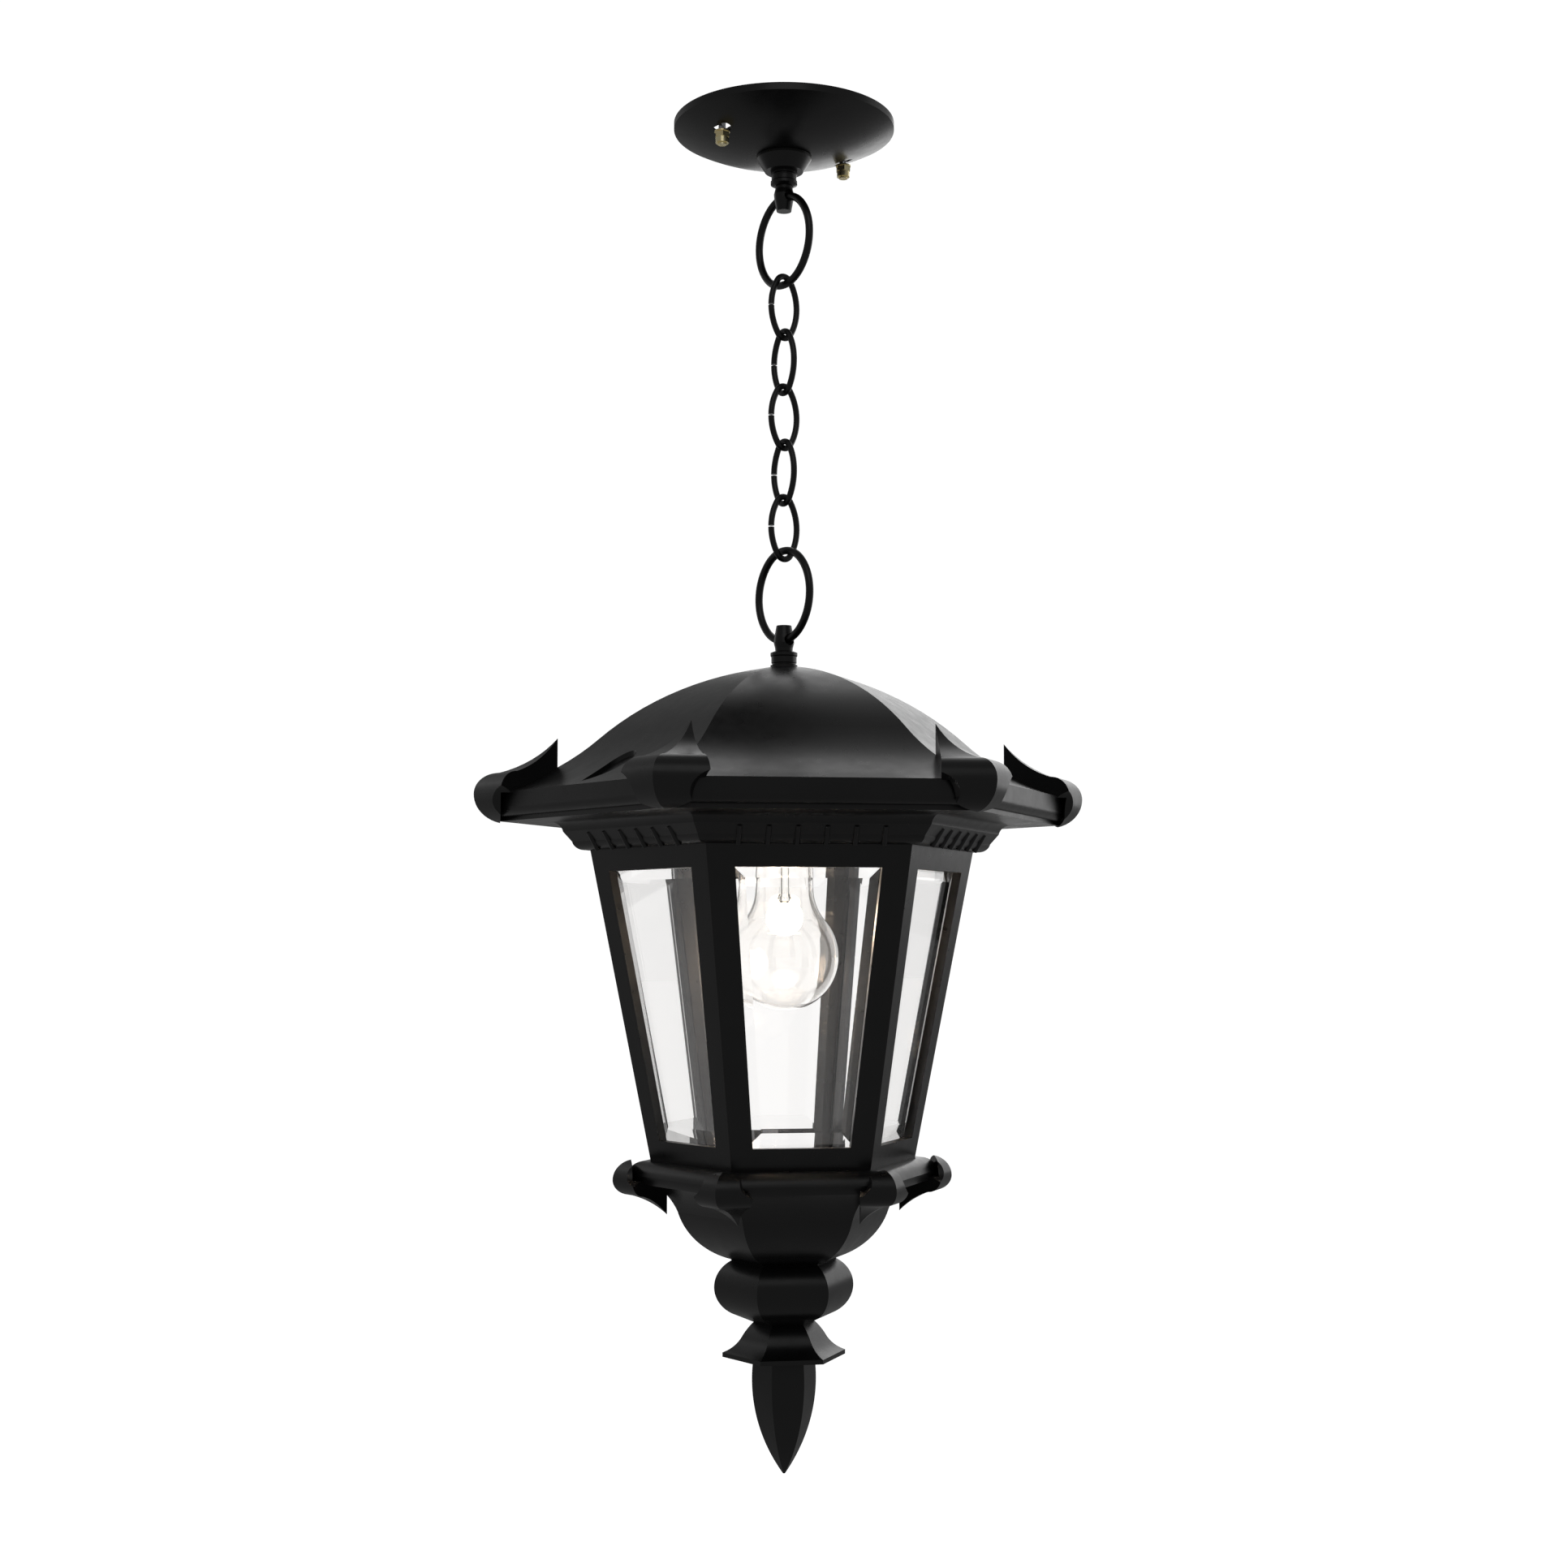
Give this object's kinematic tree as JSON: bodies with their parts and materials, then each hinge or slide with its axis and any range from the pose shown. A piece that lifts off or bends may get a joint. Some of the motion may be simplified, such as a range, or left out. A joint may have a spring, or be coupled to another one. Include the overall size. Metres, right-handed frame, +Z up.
{
  "type": "hanging lantern",
  "caption": "Hexagonal hanging lantern on a short chain, with a curved roof, curled corner leaves, bevelled glass panes, a screw-base bulb and a pointed foot.",
  "frame": {"origin": "centre of the canopy's ceiling plane, midway between the crossbar's two box slots", "axes": "+Z up to the ceiling, so the lantern hangs towards -Z; X along the crossbar; the cage's corners point at +Y and -Y"},
  "size_m": [0.3008, 0.3474, 0.7638],
  "materials": {
    "black_coat": "satin black powder coat on cast aluminium",
    "black_chain": "satin black paint on steel wire",
    "zinc_steel": "zinc plated",
    "polished_brass": "polished",
    "green_screw": "green dyed zinc",
    "clip_spring": "bare spring sheet",
    "pane_glass": "clear, bevelled",
    "porcelain": null,
    "cap_metal": "bright",
    "bulb_envelope": "clear blown glass",
    "bulb_stem_glass": "clear pressed glass",
    "insulator_glass": "black pressed glass",
    "contact_metal": "soldered tip",
    "tungsten": "dull wire"
  },
  "bodies": {
    "ceiling": {"crossbar": "zinc_steel", "canopy": "black_coat", "canopy_studs": "zinc_steel", "stud_nuts": "zinc_steel", "canopy_washers": "polished_brass", "canopy_nuts": "polished_brass", "ground_screw": "green_screw", "canopy_nipple": "zinc_steel", "canopy_lock_washer": "zinc_steel", "canopy_lock_nut": "zinc_steel", "canopy_collar": "black_coat", "canopy_coupling": "black_coat", "canopy_loop": "black_coat"},
    "ring_upper": {"ring_upper": "black_chain"},
    "link_1": {"link_1": "black_chain"},
    "link_2": {"link_2": "black_chain"},
    "link_3": {"link_3": "black_chain"},
    "link_4": {"link_4": "black_chain"},
    "link_5": {"link_5": "black_chain"},
    "ring_lower": {"ring_lower": "black_chain"},
    "lantern": {"lantern_loop": "black_coat", "lantern_coupling": "black_coat", "lamp_pipe": "zinc_steel", "roof_washer": "zinc_steel", "pipe_nuts": "zinc_steel", "roof": "black_coat", "roof_horns": "black_coat", "cornice": "black_coat", "cornice_screws": "zinc_steel", "lamp_yoke": "zinc_steel", "yoke_screws": "zinc_steel", "cage": "black_coat", "glass_pane_1": "pane_glass", "glass_pane_2": "pane_glass", "glass_pane_3": "pane_glass", "glass_pane_4": "pane_glass", "glass_pane_5": "pane_glass", "glass_pane_6": "pane_glass", "glass_clips": "clip_spring", "clip_screws": "zinc_steel", "base_ring": "black_coat", "base_horns": "black_coat", "base_screws": "zinc_steel", "bowl": "black_coat", "knob": "black_coat", "skirt": "black_coat", "finial": "black_coat", "tie_rod": "zinc_steel", "tie_rod_washer": "zinc_steel", "tie_rod_nut": "zinc_steel", "lamp_socket": "porcelain", "socket_shell": "polished_brass", "socket_contact": "polished_brass", "terminal_screws": "polished_brass"},
    "bulb": {"bulb_cap": "cap_metal", "bulb_insulator": "insulator_glass", "bulb_contact": "contact_metal", "bulb_glass": "bulb_envelope", "bulb_stem": "bulb_stem_glass", "bulb_filament": "tungsten"}
  },
  "joints": [
    {"name": "upper_ring_swing", "type": "hinge", "parent": "ceiling", "child": "ring_upper", "pos_m": [0, 0, -0.0428], "axis": [0, 1, 0], "range_deg": [-15, 15]},
    {"name": "link_1_swing", "type": "hinge", "parent": "ring_upper", "child": "link_1", "pos_m": [0, 0, -0.0942], "axis": [0, 1, 0], "range_deg": [-15, 15]},
    {"name": "link_2_swing", "type": "hinge", "parent": "link_1", "child": "link_2", "pos_m": [0, 0, -0.12532], "axis": [1, 0, 0], "range_deg": [-15, 15]},
    {"name": "link_3_swing", "type": "hinge", "parent": "link_2", "child": "link_3", "pos_m": [0, 0, -0.15737], "axis": [0, 1, 0], "range_deg": [-15, 15]},
    {"name": "link_4_swing", "type": "hinge", "parent": "link_3", "child": "link_4", "pos_m": [0, 0, -0.18943], "axis": [1, 0, 0], "range_deg": [-15, 15]},
    {"name": "link_5_swing", "type": "hinge", "parent": "link_4", "child": "link_5", "pos_m": [0, 0, -0.22148], "axis": [0, 1, 0], "range_deg": [-15, 15]},
    {"name": "lower_ring_swing", "type": "hinge", "parent": "link_5", "child": "ring_lower", "pos_m": [0, 0, -0.25353], "axis": [1, 0, 0], "range_deg": [-15, 15]},
    {"name": "lantern_swing", "type": "hinge", "parent": "ring_lower", "child": "lantern", "pos_m": [0, 0, -0.30015], "axis": [0, 1, 0], "range_deg": [-15, 15]},
    {"name": "bulb_turn", "type": "hinge", "parent": "lantern", "child": "bulb", "pos_m": [0, 0, -0.41], "axis": [0, 0, 1], "continuous": true}
  ]
}
